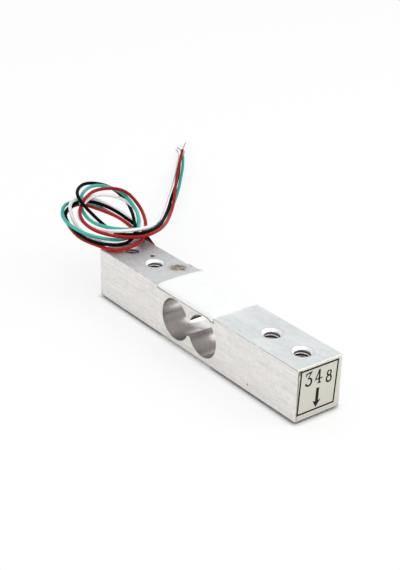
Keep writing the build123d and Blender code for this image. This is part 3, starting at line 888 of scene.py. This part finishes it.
def lay_leads():
    """Each lead from its bead to its bare end, and the short run of it that the bead hides."""
    ring = full_turn(24)
    hidden = np.array([BEAD_END, LEAD_START])[:, None]
    faces = tube_faces(len(hidden), len(ring))
    for colour, route in LEAD_ROUTES.items():
        level = LEAD_LEVELS[colour]
        start = (BEAD_END, LEAD_Y, level)
        straight = (BEAD_END - 4.0, LEAD_Y, level)
        core = twisted_strands(f"bare_core_{colour}", [route[-1], *CORE_ROUTES[colour]])
        seat(core, [f"core_{colour}"])
        lead = smooth_line(f"loose_lead_{colour}", [start, straight, *route], LEAD_RADIUS)
        lead.data.materials.append(INSULATION[colour])
        seat(lead, [f"lead_{colour}"])
        tube = spots(hidden, LEAD_Y + LEAD_RADIUS * np.cos(ring), level + LEAD_RADIUS * np.sin(ring))
        seat(make_piece(f"bedded_lead_{colour}", tube, faces, INSULATION[colour], 50))


lay_leads()


# Label
def label_sheet():
    """Sticker: a superellipse of high power filled by rings, as thick as the stock."""
    around, inward = 200, 6
    a = full_turn(around)
    r = np.linspace(0, 1, inward)[:, None]
    power = 2 / 40
    y = LABEL_HALF_WIDTH * squared_off(np.cos(a), power) * r
    z = BAR_MIDDLE + LABEL_HALF_HEIGHT * squared_off(np.sin(a), power) * r
    face = spots(LABEL_FACE - 0.03 * r ** 30, y, z)
    back = spots(HALF_LENGTH, y, z)
    faces = grid_faces(2 * inward, around, wrap_columns=True)
    sheet = make_piece("label_sheet", np.concatenate([face, back[::-1]]), faces, PAPER, 50)
    seat(sheet, ["rating_label"])


def stroke(path, width, closed=False):
    """A flat printed stroke: the path, across and up the label from its middle, offset to both sides by half
    the width along the mean of the neighbouring runs' normals."""
    path = np.array(path, float)
    runs = np.roll(path, -1, axis=0) - path
    if not closed:
        runs[-1] = runs[-2]
    runs = unit(runs)
    before = np.roll(runs, 1, axis=0)
    if not closed:
        before[0] = runs[0]
    mean = runs + before
    normal = np.column_stack([-mean[:, 1], mean[:, 0]])
    normal /= (np.linalg.norm(normal, axis=1) ** 2 / 2)[:, None]
    half = np.broadcast_to(np.asarray(width, float) / 2, (len(path),))[:, None]
    rails = np.stack([path + normal * half, path - normal * half], axis=1)
    return rails, grid_faces(len(path), 2, wrap_rows=closed)


def bow(centre, radii, start, end, count):
    """Points of an elliptical arc, its angles in degrees from the label's right."""
    a = np.radians(np.linspace(start, end, count))
    return np.column_stack([centre[0] + radii[0] * np.cos(a), centre[1] + radii[1] * np.sin(a)])


def numeral_three():
    """A flat-topped three: one stroke that swells along its bowl, and a foot at the bowl's end."""
    bowl = bow((-3.22, 2.70), (0.82, 0.88), 100, -150, 18)
    path = np.concatenate([[(-3.97, 4.16), (-3.83, 4.73), (-2.50, 4.89), (-3.36, 3.58)], bowl])
    swell = 0.32 + 0.18 * np.sin(np.linspace(0, np.pi, len(bowl)))
    width = np.concatenate([[0.24, 0.34, 0.34, 0.26], swell])
    return [stroke(path, width), stroke([(-3.94, 2.51), (-3.86, 2.09)], 0.52)]


def numeral_four():
    """A four: its upright, its slope with the bar, and a foot."""
    return [
        stroke([(-0.18, 1.60), (-0.18, 4.88)], 0.46),
        stroke([(-0.22, 4.80), (-1.24, 2.65), (0.70, 2.65)], 0.30),
        stroke([(-0.64, 1.64), (0.30, 1.64)], 0.28),
    ]


def numeral_eight():
    """An eight: a small ring on a wider one."""
    return [
        stroke(bow((2.58, 3.13), (0.52, 0.58), 90, 432, 30), 0.38),
        stroke(bow((2.53, 1.77), (0.68, 0.75), 90, 432, 30), 0.42),
    ]


def load_arrow():
    """A down arrow: its shaft, and a head of one quad."""
    head = np.array([[(-1.70, -2.44), (-0.78, -4.15)], [(0.56, -2.46), (-0.55, -2.80)]])
    return [stroke([(-0.46, 0.50), (-0.57, -2.76)], 0.82), (head, np.array([[0, 1, 2, 3]]))]


def label_print():
    """Frame line, three plain numerals and a down arrow, all of flat strokes just proud of the sticker."""
    frame_line = stroke([(-5.31, 5.68), (4.99, 5.58), (4.32, -4.60), (-5.86, -4.51)], 0.40, closed=True)
    marks = [frame_line, *numeral_three(), *numeral_four(), *numeral_eight(), *load_arrow()]
    ink_face = LABEL_FACE + 0.012
    points, faces, start = [], [], 0
    for rails, quads in marks:
        flat = rails.reshape(-1, 2)
        points.append(spots(ink_face, flat[:, 0], BAR_MIDDLE + flat[:, 1]))
        faces += [tuple(f) for f in quads + start]
        start += len(flat)
    seat(make_piece("label_print", np.concatenate(points), faces, INK, 50))


label_sheet()
label_print()


# Inner parts, seen only where the silicone is taken away
for node_name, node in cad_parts.items():
    for stem, material in INNER.items():
        if node_name.startswith(stem):
            node.data.materials.clear()
            node.data.materials.append(material)


# Floor and light
def floor_finish():
    """White paper sweep: plain white to the eye and in reflections, and it keeps the object's shadow."""
    sweep = Finish("white_sweep", (0.96, 0.96, 0.955), 0.9)
    nodes, links = sweep.tree.nodes, sweep.tree.links
    rays = nodes.new("ShaderNodeLightPath")
    kinds = ("Camera", "Glossy", "Transmission")
    seen, mirrored, through = (Signal(sweep, rays.outputs[f"Is {kind} Ray"]) for kind in kinds)
    out_x = (abs(sweep.x) - HALF_LENGTH).at_least(0.0)
    out_y = (abs(sweep.y) - HALF_WIDTH).at_least(0.0)
    clear = ((out_x ** 2 + out_y ** 2) ** 0.5).above(0.7, 1.3)
    share = seen.at_least(mirrored).at_least(through) * clear * 0.7
    white, blend = nodes.new("ShaderNodeEmission"), nodes.new("ShaderNodeMixShader")
    links.new(share.socket, blend.inputs[0])
    links.new(sweep.shader.outputs[0], blend.inputs[1])
    links.new(white.outputs[0], blend.inputs[2])
    links.new(blend.outputs[0], nodes["Material Output"].inputs["Surface"])
    return sweep.material


def set_stage():
    """A wide floor."""
    reach = 3.0
    corners = [(-reach, -reach, 0), (reach, -reach, 0), (reach, reach, 0), (-reach, reach, 0)]
    mesh = bpy.data.meshes.new("floor")
    mesh.from_pydata(corners, [], [(0, 1, 2, 3)])
    mesh.materials.append(floor_finish())
    floor = bpy.data.objects.new("floor", mesh)
    bpy.context.collection.objects.link(floor)


def softbox(name, place, size, power):
    """A square white area lamp turned to the object."""
    data = bpy.data.lights.new(name, "AREA")
    data.shape = "RECTANGLE"
    data.size = data.size_y = size
    data.energy = power
    lamp = bpy.data.objects.new(name, data)
    lamp.location = place
    lamp.rotation_euler = (-Vector(place)).to_track_quat("-Z", "Y").to_euler()
    bpy.context.collection.objects.link(lamp)


def set_light():
    """A pale room whose tone changes a little with height, and two softboxes."""
    world = bpy.data.worlds.new("studio")
    bpy.context.scene.world = world
    world.use_nodes = True
    nodes, links = world.node_tree.nodes, world.node_tree.links
    direction = nodes.new("ShaderNodeTexCoord")
    split = nodes.new("ShaderNodeSeparateXYZ")
    sky = nodes.new("ShaderNodeValToRGB")
    set_stops(sky.color_ramp, [
        (0.0, (0.96, 0.97, 0.98)), (0.35, (0.90, 0.915, 0.935)),
        (0.60, (0.98, 0.99, 1.0)), (1.0, (1.0, 1.0, 1.0)),
    ])
    links.new(direction.outputs["Generated"], split.inputs[0])
    links.new(split.outputs["Z"], sky.inputs[0])
    links.new(sky.outputs[0], nodes["Background"].inputs["Color"])
    nodes["Background"].inputs["Strength"].default_value = 0.88
    softbox("overhead", (0.12, -0.10, 0.60), 0.55, 0.5)
    softbox("key", (0.32, 0.40, 0.50), 0.35, 0.8)


set_stage()
set_light()
bpy.context.scene.view_settings.view_transform = "Standard"
